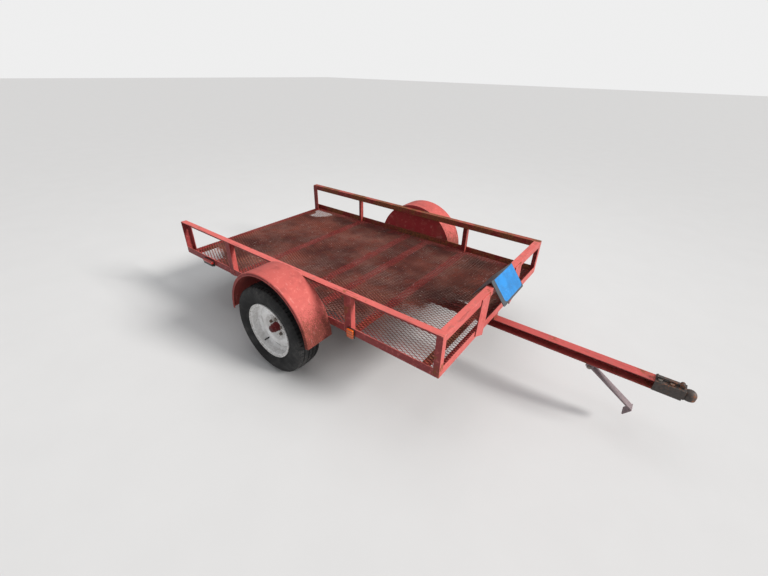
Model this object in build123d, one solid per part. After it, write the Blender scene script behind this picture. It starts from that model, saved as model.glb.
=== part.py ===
# Single-axle 5 ft x 8 ft tow-behind utility cart: angle-iron frame, expanded
# metal deck, open rails on three sides, half-round fenders, channel tongue.
# Millimetres.  +X is the direction of travel, +Y is left, z = 0 is the ground.
import os
from math import radians, degrees, sin, cos, tan, asin, sqrt, hypot
from build123d import *

os.makedirs("parts", exist_ok=True)

# ---------------------------------------------------------------- driving sizes
deck_l = 2438.0          # length of the deck frame
deck_w = 1524.0          # width of the deck frame
rail_h = 270.0           # underside of frame to top of the guard rail
iron = 50.8              # leg of the main frame angle
iron_t = 5.0             # wall of every rolled angle and channel
rail_leg = 44.45         # leg of the guard rail angle
post_leg = 38.1          # leg of the corner post angle
mid_post_w = 50.8        # outer face of the intermediate posts
mid_post_x = (612.0, 1788.0)      # rear edge of the intermediate posts
cross_x = (668.0, 1245.0, 1467.0, 1835.0)   # centres of the deck cross members
cross_leg = 31.75        # hanging leg of the cross member angle
tongue_cross_x = 2330.0  # cross member that ties the tongue
mesh_t = 3.0             # thickness of the expanded metal sheet
post_drop = 6.0          # intermediate posts reach below the side rail

axle_x = 1295.0          # wheel centre ahead of the rear end of the frame
axle_drop = 111.0        # wheel centre below the underside of the frame
tyre_r = 316.5           # 185/75 R14 outside radius
tyre_w = 189.0           # tyre section width
tread_w = 142.0
rim_r = 195.0            # edge of the 14 inch rim flange
seat_r = 177.8           # bead seat radius
rim_half = 69.85         # half the width between rim flanges
wheel_out = 124.0        # wheel centre plane outboard of the frame side
axle_r = 30.15
bolt_circle = 114.3      # 5 wheel bolts
n_lug = 5

fender_r = 377.0
fender_w = 203.0
fender_t = 2.0
fender_up = 34.0         # fender centre above the wheel centre
lip = 20.0

tongue_w = 63.5
tongue_h = 57.15
tongue_back = 1800.0     # rear end of the tongue under the deck
ball_ahead = 1067.0      # ball centre ahead of the frame
ball_r = 25.4
ball_clear = 0.6

spring_y = 728.0         # spring centre line from the cart centre line
leaf_w = 44.4
leaf_t = 6.5
leaf_half = (330.0, 220.0, 120.0)
eye_r = 7.0

leg_x = 3040.0           # prop leg pivot ahead of the rear end of the frame
leg_len = 327.0
leg_angle = 34.0         # parked angle of the leg below the horizontal
leg_w = 50.8

fit = 0.05               # radial running fit
slack = 0.3              # gap round free moving pieces

# ------------------------------------------------------------- derived datums
z0 = tyre_r + axle_drop                     # underside of the frame
socket_r = ball_r + ball_clear
dome_r = socket_r + 7.0
nose = deck_l + ball_ahead + dome_r
x0 = -nose / 2.0                            # rear end of the frame
half = deck_w / 2.0
wheel_y = half + wheel_out
wheel_z = tyre_r
ball_x = deck_l + ball_ahead
tongue_top = iron_t - cross_leg


def save(part, name):
    export_step(part, os.path.join("parts", name + ".step"))


def box(xa, xb, ya, yb, za, zb):
    """Block from frame coordinates: X from the frame rear, Z from its underside."""
    return Pos(x0 + (xa + xb) / 2, (ya + yb) / 2, z0 + (za + zb) / 2) * Box(
        abs(xb - xa), abs(yb - ya), abs(zb - za))


def rod(x, y, z, r, length, axis):
    """Round bar centred on a frame coordinate."""
    turn = {"x": Rot(0, 90, 0), "y": Rot(90, 0, 0), "z": Rot(0, 0, 0)}[axis]
    return Pos(x0 + x, y, z0 + z) * turn * Cylinder(r, length)


def hexagon(x, y, z, across, height, axis):
    turn = {"x": Rot(0, 90, 0), "y": Rot(90, 0, 0), "z": Rot(0, 0, 0)}[axis]
    body = extrude(RegularPolygon(across / 2, 6, major_radius=False), height / 2, both=True)
    return Pos(x0 + x, y, z0 + z) * turn * body


def plate(points, thick):
    """Flat plate drawn on XY and thickened along +Z."""
    return extrude(make_face(Polyline(*points, close=True)), thick)


def mirrored(part):
    return part.mirror(Plane.XZ)


def pair(part):
    return Compound(children=[part, mirrored(part)])


# ------------------------------------------------------------------ deck frame
flange_y = half - iron                      # inner edge of the side rail flange
post_top = rail_h - iron_t


def rear_post():
    cross = box(0, iron_t, -half, -flange_y, 0, post_top)
    along = box(iron_t, iron, -flange_y - iron_t, -flange_y, iron_t + mesh_t, post_top)
    return cross + along


def mid_post(x):
    face = box(x, x + mid_post_w, -half, -half + iron_t, -post_drop, post_top)
    back = box(x + mid_post_w - iron_t, x + mid_post_w, -half + iron_t,
               -half + post_leg, iron_t + mesh_t, post_top)
    return face + back


def corner_post():
    side = box(deck_l - post_leg, deck_l, -half, -half + iron_t, 0, post_top)
    front = box(deck_l - iron_t, deck_l, -half + iron_t, -half + post_leg, 0, post_top)
    return side + front


top_rail = box(0, deck_l, -half, -half + rail_leg, post_top, rail_h) + box(
    0, deck_l, -half + rail_leg - iron_t, -half + rail_leg, rail_h - rail_leg, post_top)
posts = {"rear_post": rear_post() - top_rail, "corner_post": corner_post()}
posts["mid_post_rear"], posts["mid_post_front"] = [mid_post(x) for x in mid_post_x]
side_rail = box(0, deck_l, -half, -half + iron_t, 0, iron) + box(
    0, deck_l - iron_t, -half + iron_t, -flange_y, 0, iron_t)
for p in posts.values():
    side_rail = side_rail - p

save(top_rail, "top_rail_right")
save(mirrored(top_rail), "top_rail_left")
save(side_rail, "side_rail_right")
save(mirrored(side_rail), "side_rail_left")
for name, p in posts.items():
    save(p, name + "_right")
    save(mirrored(p), name + "_left")

gap_y = half - rail_leg                     # inner face of the guard rail leg
top_front = box(deck_l - rail_leg, deck_l, -gap_y, gap_y, post_top, rail_h) + box(
    deck_l - iron_t, deck_l, -gap_y, gap_y, rail_h - rail_leg, post_top)
save(top_front, "top_rail_front")

front_y = half - post_leg
front_member = box(deck_l - iron_t, deck_l, -front_y, front_y, 0, iron) + box(
    deck_l - iron, deck_l - iron_t, -flange_y, flange_y, 0, iron_t)
front_member = front_member - side_rail - mirrored(side_rail)
save(front_member, "front_cross_member")

rear_member = box(0, iron, -flange_y, flange_y, 0, iron_t) + box(
    0, iron_t, -flange_y, flange_y, iron_t - iron, 0)
save(rear_member, "rear_cross_member")


def cross_member(x):
    flat = box(x - iron / 2, x + iron / 2, -flange_y, flange_y, 0, iron_t)
    hang = box(x - iron / 2, x - iron / 2 + iron_t, -flange_y, flange_y, tongue_top, 0)
    return flat + hang


for i, x in enumerate(cross_x):
    save(cross_member(x), "deck_cross_member_%d" % (i + 1))
save(cross_member(tongue_cross_x), "tongue_cross_member")

mesh_gap = 1.0
mesh = box(iron_t + mesh_gap, deck_l - iron_t - mesh_gap, -half + iron_t + mesh_gap,
           half - iron_t - mesh_gap, iron_t, iron_t + mesh_t)
save(mesh, "deck_mesh")

# Wide stays on the front face, leaning slightly outboard towards the bottom.
stay_t = 6.0
stay = ((-340, 20), (-225, -34), (-202, rail_h - 6), (-318, rail_h - 6))
stay_face = make_face(Polyline(*[(x0 + deck_l, y, z0 + z) for y, z in stay], close=True))
front_stay = extrude(stay_face, stay_t, dir=(1, 0, 0))
save(front_stay, "front_stay_right")
save(mirrored(front_stay), "front_stay_left")

# ------------------------------------------------------------- tongue and hitch
tongue_end = ball_x - 65.0
tongue_bot = tongue_top - tongue_h
tw = tongue_w / 2
tongue = box(tongue_back, tongue_end, tw - iron_t, tw, tongue_bot, tongue_top)
for za in (tongue_top - iron_t, tongue_bot):
    tongue = tongue + box(tongue_back, tongue_end, -tw, tw - iron_t, za, za + iron_t)
packer = box(deck_l - iron, deck_l, -tw, tw, tongue_top, 0)
save(packer, "tongue_packer")

# Coupler: folded sleeve over the tongue end, domed socket open at the bottom.
skin = 4.0
ball_z = (tongue_top + tongue_bot) / 2
sleeve_x = ball_x - 160.0
lever_x, lever_z = ball_x - 43.0, tongue_top + skin + 13.0
coupler = box(sleeve_x, ball_x - 27.0, -tw - skin, tw + skin, tongue_bot, tongue_top + skin)
coupler = coupler - box(sleeve_x, ball_x - 27.0 - skin, -tw, tw, tongue_bot, tongue_top)
dome = Pos(x0 + ball_x, 0, z0 + ball_z) * Sphere(dome_r)
skirt = rod(ball_x, 0, ball_z - 9.0, dome_r, 18.0, "z")
coupler = coupler + (dome - box(ball_x - 50, ball_x + 50, -50, 50, ball_z - 50, ball_z)) + skirt
coupler = coupler + box(ball_x - 30, ball_x - 20, -tw - skin, tw + skin,
                        ball_z - 18, tongue_top + skin)
coupler = coupler - Pos(x0 + ball_x, 0, z0 + ball_z) * Sphere(socket_r)
coupler = coupler - rod(ball_x, 0, ball_z - 25.0, socket_r, 50.0, "z")
# opening at the back of the socket where the jaw works
jaw_w = 30.0
jaw_x = (lever_x - 8.0, ball_x - 18.0)
coupler = coupler - box(lever_x - 8.0 - 1.0, ball_x - 10.0, -jaw_w / 2 - slack, jaw_w / 2 + slack,
                        ball_z - 40.0, ball_z + 5.0)
ear_in, ear_t = 10.5, 4.0
pin_r = 6.0
for s in (-1, 1):
    ya, yb = sorted((s * ear_in, s * (ear_in + ear_t)))
    ear = box(lever_x - 11, lever_x + 11, ya, yb, tongue_top + skin, lever_z)
    ear = ear + rod(lever_x, (ya + yb) / 2, lever_z, 11.0, ear_t, "y")
    coupler = coupler + ear
coupler = coupler - rod(lever_x, 0, lever_z, pin_r + fit, 60.0, "y")
stem_r = 4.0
coupler = coupler - rod(lever_x, 0, tongue_top, stem_r + slack, 30.0, "z")

# Four bolts fasten the sleeve to the top flange of the tongue.
bolt_r = 6.0
bolt_at = [(sleeve_x + dx, y) for dx in (20.0, 75.0) for y in (-15.0, 15.0)]
bolts = []
for bx, by in bolt_at:
    top, low = tongue_top + skin, tongue_top - iron_t
    hole = rod(bx, by, tongue_top, bolt_r + fit, 60.0, "z")
    coupler = coupler - hole
    tongue = tongue - rod(bx, by, tongue_top, bolt_r + fit, 20.0, "z")
    b = rod(bx, by, (top + low - 13) / 2, bolt_r, top - low + 13, "z")
    b = b + hexagon(bx, by, top + 3.75, 19.0, 7.5, "z")
    b = b + hexagon(bx, by, low - 5.0, 19.0, 10.0, "z")
    bolts.append(b)
save(tongue, "tongue_channel")
save(coupler, "coupler_body")
save(Compound(children=bolts), "coupler_bolts")

# Latch lever with its own trunnions; the boss is the cam over the jaw stem.
lever_w = 2 * (ear_in - slack)
boss_r = 9.0
lever = rod(lever_x, 0, lever_z, boss_r, lever_w, "y") + rod(
    lever_x, 0, lever_z, pin_r, 2 * (ear_in + ear_t) + 6.0, "y")
handle = box(lever_x - 112, lever_x - 2, -8.0, 8.0, lever_z - 3.0, lever_z + 3.0)
grip = rod(lever_x - 112, 0, lever_z + 1.5, 4.5, 26.0, "y")
save(lever + handle + grip, "coupler_lever")

# Jaw: closes under the back of the ball, its stem reaches up to the lever cam.
jaw_gap = 0.4
jaw = box(lever_x - 8.0, ball_x - 12.0, -jaw_w / 2, jaw_w / 2, ball_z - 30.0, ball_z - 6.0)
jaw = jaw - Pos(x0 + ball_x, 0, z0 + ball_z) * Sphere(socket_r + jaw_gap)
stem_top = lever_z - boss_r - slack
jaw = jaw + rod(lever_x, 0, (ball_z - 10.0 + stem_top) / 2, stem_r, stem_top - ball_z + 10.0, "z")
save(jaw, "coupler_jaw")

# ------------------------------------------------------------------- prop leg
leg_drop = 16.0
leg_z = tongue_bot - leg_drop
ear_gap = leg_w / 2 + 0.6
bolt_leg = 6.35
bracket = box(leg_x - 22, leg_x + 22, -ear_gap - iron_t, ear_gap + iron_t,
              tongue_bot - 2.5, tongue_bot)
for s in (-1, 1):
    ya, yb = sorted((s * ear_gap, s * (ear_gap + iron_t)))
    cheek = box(leg_x - 22, leg_x + 22, ya, yb, leg_z, tongue_bot - 2.5)
    bracket = bracket + cheek + rod(leg_x, (ya + yb) / 2, leg_z, 16.0, iron_t, "y")
bracket = bracket - rod(leg_x, 0, leg_z, bolt_leg + fit, 90.0, "y")
save(bracket, "leg_bracket")
grip_l = 2 * (ear_gap + iron_t)
leg_bolt = rod(leg_x, 0, leg_z, bolt_leg, grip_l + 22.0, "y")
leg_bolt = leg_bolt + hexagon(leg_x, -grip_l / 2 - 4.0, leg_z, 19.0, 8.0, "y")
leg_bolt = leg_bolt + hexagon(leg_x, grip_l / 2 + 5.0, leg_z, 19.0, 10.0, "y")
save(leg_bolt, "leg_pivot_bolt")
# Drawn straight forward from the pivot, then swung down to the parked angle.
bar_t, foot_t = 9.5, 6.0
leg = Rot(90, 0, 0) * Cylinder(12.0, leg_w) + Pos(leg_len / 2, 0, 0) * Box(leg_len, leg_w, bar_t)
leg = leg + Pos(leg_len - foot_t / 2, 0, -25.0) * Box(foot_t, leg_w + 12.0, 60.0)
leg = leg - Rot(90, 0, 0) * Cylinder(bolt_leg + fit, 2 * leg_w)
leg = Pos(x0 + leg_x, 0, z0 + leg_z) * Rot(0, leg_angle, 0) * leg
save(leg, "prop_leg")

# -------------------------------------------------------------------- fenders
fz = -axle_drop + fender_up
roll = 8.0
arc_out = [(fender_r - roll + roll * cos(radians(a)), fender_w - roll + roll * sin(radians(a)))
           for a in range(0, 91, 15)]
inner_roll = roll - fender_t
arc_in = [(fender_r - roll + inner_roll * cos(radians(a)),
           fender_w - roll + inner_roll * sin(radians(a))) for a in range(90, -1, -15)]
section = [(fender_r, 0)] + arc_out + [(fender_r - lip, fender_w)]
section += [(fender_r - lip, fender_w - fender_t)] + arc_in + [(fender_r - fender_t, 0)]
hoop = revolve(make_face(Polyline(*[(r, y, 0) for r, y in section], close=True)), Axis.Y, 180)
ends = hoop.bounding_box()
if ends.max.Z < 1.0:
    hoop = hoop.mirror(Plane.XY)
hoop = hoop.mirror(Plane.XZ)
hoop = Pos(x0 + axle_x, -half, z0 + fz) * hoop
cheek_plate = rod(axle_x, -half - fender_t / 2, fz, fender_r - fender_t, fender_t, "y")
cheek_plate = cheek_plate - box(axle_x - 400, axle_x + 400, -half - 50, -half + 50, -800, 0)
fender = hoop + cheek_plate
save(fender, "fender_right")
save(mirrored(fender), "fender_left")

# ----------------------------------------------------------------- suspension
az = -axle_drop
seat_top = az + axle_r + 1.0
axle_end = half + 22.0
seat_w = leaf_w - 2.0
axle = rod(axle_x, 0, az, axle_r, 2 * axle_end, "y")
axle = axle - rod(axle_x, 0, az, axle_r - 6.0, 2 * axle_end + 2, "y")
for s in (-1, 1):
    pad = box(axle_x - 26, axle_x + 26, s * spring_y - seat_w / 2, s * spring_y + seat_w / 2,
              az + 20.0, seat_top)
    axle = axle + (pad - rod(axle_x, 0, az, axle_r - 1.0, 2 * axle_end, "y"))
save(axle, "axle_tube")

# Three-leaf slipper springs: eye at the front, plain sliding end at the rear.
mid_z = seat_top + leaf_t * 2.5             # centre of the main leaf at the axle
rise = 32.0
leaf_rad = (leaf_half[0] ** 2 + rise ** 2) / (2 * rise)
leaves = []
for i, h in enumerate(leaf_half):
    r_mid = leaf_rad + i * leaf_t
    ring = Cylinder(r_mid + leaf_t / 2, leaf_w) - Cylinder(r_mid - leaf_t / 2, leaf_w)
    ring = Pos(x0 + axle_x, -spring_y, z0 + mid_z + leaf_rad) * Rot(90, 0, 0) * ring
    back = h + (12.0 if i == 0 else 0.0)
    keep = box(axle_x - back, axle_x + h, -spring_y - 60, -spring_y + 60, mid_z - 60, mid_z + 60)
    leaves.append(ring & keep)
eye_out = 13.5
eye_x = axle_x + leaf_half[0]
eye_z = mid_z + rise - leaf_t / 2 + eye_out
eye = rod(eye_x, -spring_y, eye_z, eye_out, leaf_w, "y")
bore = rod(eye_x, -spring_y, eye_z, eye_r + fit, leaf_w + 2, "y")
leaves[0] = (leaves[0] + eye) - bore
save(Compound(children=leaves), "leaf_spring_right")
save(Compound(children=[mirrored(v) for v in leaves]), "leaf_spring_left")

side_gap = 0.6
hang_in = leaf_w / 2 + side_gap
hang_t = 4.0
pin_low = mid_z + rise - 20.0               # keeper pin under the sliding end
slip_x = axle_x - leaf_half[0]


def hanger(x, low, crown):
    h = box(x - 24, x + 24, -spring_y - hang_in - hang_t, -spring_y + hang_in + hang_t, low, 0)
    return h - box(x - 30, x + 30, -spring_y - hang_in, -spring_y + hang_in, low - 1, crown)


front_hanger = hanger(eye_x, eye_z - 22.0, -hang_t) - rod(eye_x, -spring_y, eye_z,
                                                        eye_r + fit, 80.0, "y")
end_rise = (leaf_half[0] + 12.0) ** 2 / (2 * leaf_rad) + 0.4
rear_hanger = hanger(slip_x, pin_low - 16.0, mid_z + end_rise + leaf_t / 2 + slack)
rear_hanger = rear_hanger - rod(slip_x, -spring_y, pin_low, eye_r + fit, 80.0, "y")
save(pair(front_hanger), "spring_hangers_front")
save(pair(rear_hanger), "spring_hangers_rear")
grip_h = 2 * (hang_in + hang_t)
pins = []
for px, pz in ((eye_x, eye_z), (slip_x, pin_low)):
    p = rod(px, -spring_y + 4.0, pz, eye_r, grip_h + 16.0, "y")
    p = p + hexagon(px, -spring_y - grip_h / 2 - 2.0, pz, 20.0, 4.0, "y")
    p = p + hexagon(px, -spring_y + grip_h / 2 + 4.5, pz, 20.0, 9.0, "y")
    pins += [p, mirrored(p)]
save(Compound(children=pins), "spring_bolts")

tie_t = 8.0
tie_half = 52.0
leaf_top = mid_z + leaf_t / 2 + tie_half ** 2 / (2 * leaf_rad) + 0.02
tie_y = (spring_y - 33.0, spring_y + 33.0)
u_r = 5.5
u_x = axle_r + u_r + 0.1
u_y = leaf_w / 2 + u_r + 0.3
tie = box(axle_x - tie_half, axle_x + tie_half, -tie_y[1], -tie_y[0], leaf_top, leaf_top + tie_t)
ubolts = []
for dy in (-u_y, u_y):
    bend = Torus(u_x, u_r)
    bend = Pos(x0 + axle_x, -spring_y + dy, z0 + az) * Rot(90, 0, 0) * bend
    bend = bend - box(axle_x - 80, axle_x + 80, -spring_y + dy - 20, -spring_y + dy + 20,
                      az, az + 80)
    u = bend
    leg_top = leaf_top + tie_t + 15.0
    for dx in (-u_x, u_x):
        u = u + rod(axle_x + dx, -spring_y + dy, (az + leg_top) / 2, u_r, leg_top - az, "z")
        u = u + hexagon(axle_x + dx, -spring_y + dy, leaf_top + tie_t + 4.5, 17.0, 9.0, "z")
        tie = tie - rod(axle_x + dx, -spring_y + dy, leaf_top, u_r + fit, 40.0, "z")
    u = u & box(axle_x - 80, axle_x + 80, -half + 0.8, -half + 80, -300, 100)
    ubolts += [u, mirrored(u)]
save(pair(tie), "spring_plates")
save(Compound(children=ubolts), "u_bolts")

# ------------------------------------------------------------ wheels and hubs
# Turned pieces are drawn as (radius, outboard distance from the wheel plane).
def turned(points):
    body = revolve(make_face(Polyline(*[(r, 0, s) for r, s in points], close=True)), Axis.Z, 360)
    return Pos(x0 + axle_x, -wheel_y, wheel_z) * Rot(90, 0, 0) * body


def at_wheel(part):
    return Pos(x0 + axle_x, -wheel_y, wheel_z) * Rot(90, 0, 0) * part


journal = 13.5
race_r = 25.0
bearing_w = 14.0
inner_s, outer_s = -66.0, 16.0              # inboard faces of the two bearings
hub_in, hub_out = -72.0, 38.0
pilot_r = 33.0
shoulder = inner_s - 1.0
spindle_root = -(wheel_y - axle_end) - 60.0
nut_s = outer_s + bearing_w
spindle = turned([(0, spindle_root), (axle_r - 6.0, spindle_root), (axle_r - 6.0, -(wheel_y - axle_end)),
                  (20.0, -(wheel_y - axle_end) + 6.0), (18.0, shoulder), (journal, shoulder),
                  (journal, nut_s), (11.0, nut_s), (11.0, nut_s + 16.0), (0, nut_s + 16.0)])
save(pair(spindle), "spindles")
rings = []
for s in (inner_s, outer_s):
    ring = turned([(journal, s), (race_r, s), (race_r, s + bearing_w), (journal, s + bearing_w)])
    rings += [ring, mirrored(ring)]
save(Compound(children=rings), "wheel_bearings")
nut = extrude(RegularPolygon(14.5, 6, major_radius=False), 10.0) - Cylinder(11.0, 60.0)
washer = Cylinder(18.0, 2.5, align=(Align.CENTER, Align.CENTER, Align.MIN)) - Cylinder(11.0, 60.0)
nut = at_wheel(Pos(0, 0, nut_s) * (Pos(0, 0, 2.5) * nut + washer))
save(pair(nut), "spindle_nuts")

race_bore = race_r + fit
hub = turned([
    (race_bore, hub_in), (36.0, hub_in), (38.0, -30.0), (44.0, -14.0), (70.0, -10.0),
    (70.0, 0.0), (pilot_r, 0.0), (pilot_r, 8.0), (31.0, 12.0), (30.0, hub_out),
    (race_bore, hub_out), (race_bore, outer_s), (21.5, outer_s), (21.5, inner_s + bearing_w),
    (race_bore, inner_s + bearing_w)])
lug_at = [(bolt_circle / 2 * cos(radians(90 + 360 / n_lug * k)),
           bolt_circle / 2 * sin(radians(90 + 360 / n_lug * k))) for k in range(n_lug)]
lug_r = 6.35
for lx, ly in lug_at:
    hub = hub - at_wheel(Pos(lx, ly, -5) * Cylinder(lug_r, 20.0))
save(hub, "hub_right")
save(mirrored(hub), "hub_left")

cap_wall = 1.5
cap = turned([
    (race_bore, hub_out - 7.0), (race_bore, hub_out), (28.0, hub_out), (28.0, hub_out + 2.0),
    (25.5, hub_out + 3.0), (24.5, hub_out + 15.0), (20.0, hub_out + 20.0), (0, hub_out + 21.5),
    (0, hub_out + 20.0), (19.3, hub_out + 18.6), (23.0, hub_out + 14.5),
    (race_bore - cap_wall, hub_out)] + [(race_bore - cap_wall, hub_out - 7.0)])
save(cap, "dust_cap_right")
save(mirrored(cap), "dust_cap_left")

# Pressed steel wheel: drop-centre rim with a stepped disc welded inside it.
sheet = 3.0
well_r = 160.0
rim_pts = [
    (rim_r, rim_half + 10.5), (rim_r, rim_half), (seat_r + 2.5, rim_half),
    (seat_r, rim_half - 4.0), (seat_r, 24.0), (well_r, 10.0), (well_r, -30.0),
    (seat_r, -40.0), (seat_r, -rim_half + 4.0), (seat_r + 2.5, -rim_half),
    (rim_r, -rim_half), (rim_r, -rim_half - 10.5), (rim_r - 4.5, -rim_half - 10.5),
    (rim_r - 4.5, -rim_half - sheet), (seat_r, -rim_half - sheet), (seat_r - sheet, -rim_half),
    (seat_r - sheet, -42.5), (well_r - sheet, -32.5), (well_r - sheet, 12.5),
    (seat_r - sheet, 26.5), (seat_r - sheet, rim_half), (seat_r, rim_half + sheet),
    (rim_r - 4.5, rim_half + sheet), (rim_r - 4.5, rim_half + 10.5)]
disc_t = 4.0
disc_top = [(well_r - sheet, 8.0), (151.0, 16.0), (136.0, 21.0), (112.0, 24.0),
            (98.0, 21.0), (86.0, 10.0), (76.0, disc_t), (pilot_r + 0.5, disc_t)]
disc_low = [(pilot_r + 0.5, 0.0), (78.0, 0.0), (89.0, 6.0), (101.0, 17.0), (113.0, 20.0),
            (135.0, 17.0), (148.0, 12.5), (well_r - sheet - 4.0, 5.0),
            (well_r - sheet - 4.0, -12.0), (well_r - sheet, -12.0)]
wheel = turned(rim_pts) + turned(disc_top + disc_low)
for lx, ly in lug_at:
    wheel = wheel - at_wheel(Pos(lx, ly, 0) * Cylinder(lug_r + 0.6, 30.0))
n_slot, slot_r = 4, 143.0
for k in range(n_slot):
    a = 360.0 / n_slot * k + 90.0
    slot = Rot(0, 0, a) * Pos(slot_r, 0, 15.0) * Box(13.0, 44.0, 30.0)
    wheel = wheel - at_wheel(slot)
valve_r, valve_a = 166.5, 234.0
vx, vy = valve_r * cos(radians(valve_a)), valve_r * sin(radians(valve_a))
wheel = wheel - at_wheel(Pos(vx, vy, 20.0) * Cylinder(4.6, 40.0))
save(wheel, "wheel_right")
save(mirrored(wheel), "wheel_left")
valve = Pos(vx, vy, 21.0) * Cylinder(4.6, 18.0) + Pos(vx, vy, 38.0) * Cylinder(3.6, 18.0)
valve = valve + Pos(vx, vy, 49.0) * Cylinder(4.2, 8.0)
save(at_wheel(valve), "valve_stem_right")
save(mirrored(at_wheel(valve)), "valve_stem_left")

nuts = []
for lx, ly in lug_at:
    b = Pos(lx, ly, 5.0) * Cylinder(lug_r, 30.0)
    head = extrude(RegularPolygon(9.5, 6, major_radius=False), 14.0)
    b = b + Pos(lx, ly, disc_t) * head
    nuts.append(at_wheel(b))
save(Compound(children=nuts), "lug_bolts_right")
save(Compound(children=[mirrored(b) for b in nuts]), "lug_bolts_left")

tw2, th2 = tyre_w / 2, tread_w / 2
out_side = [(seat_r, rim_half - 14.0), (seat_r, rim_half - 4.0), (seat_r + 2.5, rim_half),
            (rim_r, rim_half), (rim_r + 6.0, rim_half + 9.0), (215.0, tw2 - 7.0),
            (232.0, tw2 - 1.0), (248.0, tw2), (266.0, tw2 - 2.0), (284.0, tw2 - 8.0),
            (300.0, tw2 - 16.0), (tyre_r - 6.0, th2 - 1.0), (tyre_r - 2.0, th2 - 10.0)]
grooves = []
for g in (48.0, 16.0):
    grooves += [(tyre_r - 0.6, g + 4.5), (tyre_r - 8.0, g + 3.5),
                (tyre_r - 8.0, g - 3.5), (tyre_r - 0.4, g - 4.5)]
outer = out_side + grooves
outer = outer + [(r, -s) for r, s in reversed(outer)]
in_side = [(seat_r, rim_half - 14.0), (seat_r + 8.0, rim_half - 13.0), (205.0, rim_half + 2.0),
           (230.0, tw2 - 11.0), (250.0, tw2 - 9.0), (275.0, tw2 - 13.0), (294.0, th2 - 4.0),
           (302.0, th2 - 18.0), (304.0, 0.0)]
inner = [(r, -s) for r, s in in_side[1:-1]]
inner = inner + [(r, s) for r, s in reversed(in_side[1:])]
tyre = turned(outer + inner)
save(tyre, "tyre_right")
save(mirrored(tyre), "tyre_left")

# ----------------------------------------------------------- lamps and board
marker = box(1812, 1868, -half - 20, -half, -16, 48)
marker = fillet(marker.edges().filter_by(Axis.Y), 5.0)
marker = chamfer(marker.faces().sort_by(Axis.Y)[0].edges(), 3.0)
save(pair(marker), "marker_lamps")
tail = box(272, 400, -half - 28, -half, -8, 38)
tail = fillet(tail.edges().filter_by(Axis.Y), 12.0)
tail = chamfer(tail.faces().sort_by(Axis.Y)[0].edges(), 4.0)
save(pair(tail), "tail_lamps")

# Blank folded marker board standing astride the front guard rail: the inner faces of
# its two leaves rest on the rail's upper front and upper rear edges.
board_t, board_w, board_y = 4.0, 326.0, -156.0
leaf_len, front_a, rear_a = 170.0, 52.0, 51.0   # both leaves; angles below horizontal
board_clear = 0.05
fa, ra = radians(front_a), radians(rear_a)
front_c = board_t / 2 + board_clear
rear_c = rail_leg * sin(ra) + front_c
fold_x = deck_l + (front_c * cos(ra) - rear_c * cos(fa)) / sin(fa + ra)
fold_z = rail_h + (front_c * sin(ra) + rear_c * sin(fa)) / sin(fa + ra)


def leaf_sides(angle, way):
    """Upper and lower corner of a leaf's free edge, in X and Z."""
    end = (fold_x + way * leaf_len * cos(angle), fold_z - leaf_len * sin(angle))
    out = (way * sin(angle) * board_t / 2, cos(angle) * board_t / 2)
    return (end[0] + out[0], end[1] + out[1]), (end[0] - out[0], end[1] - out[1])


crease = board_t / 2 / cos(fa)
front_up, front_low = leaf_sides(fa, 1)
rear_up, rear_low = leaf_sides(ra, -1)
ring_pts = [(fold_x, fold_z + crease), front_up, front_low, (fold_x, fold_z - crease),
            rear_low, rear_up]
board = make_face(Polyline(*[(x0 + a, board_y, z0 + b) for a, b in ring_pts], close=True))
save(extrude(board, board_w, dir=(0, 1, 0)), "number_board")
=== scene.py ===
import math
import random

import bmesh
import bpy
from mathutils import Matrix, Vector, noise


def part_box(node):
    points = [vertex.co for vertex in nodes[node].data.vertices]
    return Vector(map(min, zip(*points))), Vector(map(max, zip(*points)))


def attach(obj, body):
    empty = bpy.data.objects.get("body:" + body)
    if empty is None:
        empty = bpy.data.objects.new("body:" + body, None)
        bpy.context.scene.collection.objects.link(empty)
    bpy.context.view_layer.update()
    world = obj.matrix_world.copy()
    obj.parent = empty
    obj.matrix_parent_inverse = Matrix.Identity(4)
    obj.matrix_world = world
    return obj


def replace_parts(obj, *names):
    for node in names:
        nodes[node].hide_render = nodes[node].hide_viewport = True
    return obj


# A weathered single-axle utility cart: procedural paint and rust on the CAD frame, with a
# real diamond mesh deck, treaded tyres, lamps and a folded board in place of the plain nodes.
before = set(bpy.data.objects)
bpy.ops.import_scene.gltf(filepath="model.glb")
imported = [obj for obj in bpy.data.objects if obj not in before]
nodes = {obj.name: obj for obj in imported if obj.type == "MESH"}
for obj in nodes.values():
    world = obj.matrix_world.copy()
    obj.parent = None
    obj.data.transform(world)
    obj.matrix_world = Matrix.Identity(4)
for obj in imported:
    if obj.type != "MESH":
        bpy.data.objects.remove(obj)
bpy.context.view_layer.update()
random.seed(7)

SIDES = (("right", -1), ("left", 1))


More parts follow.
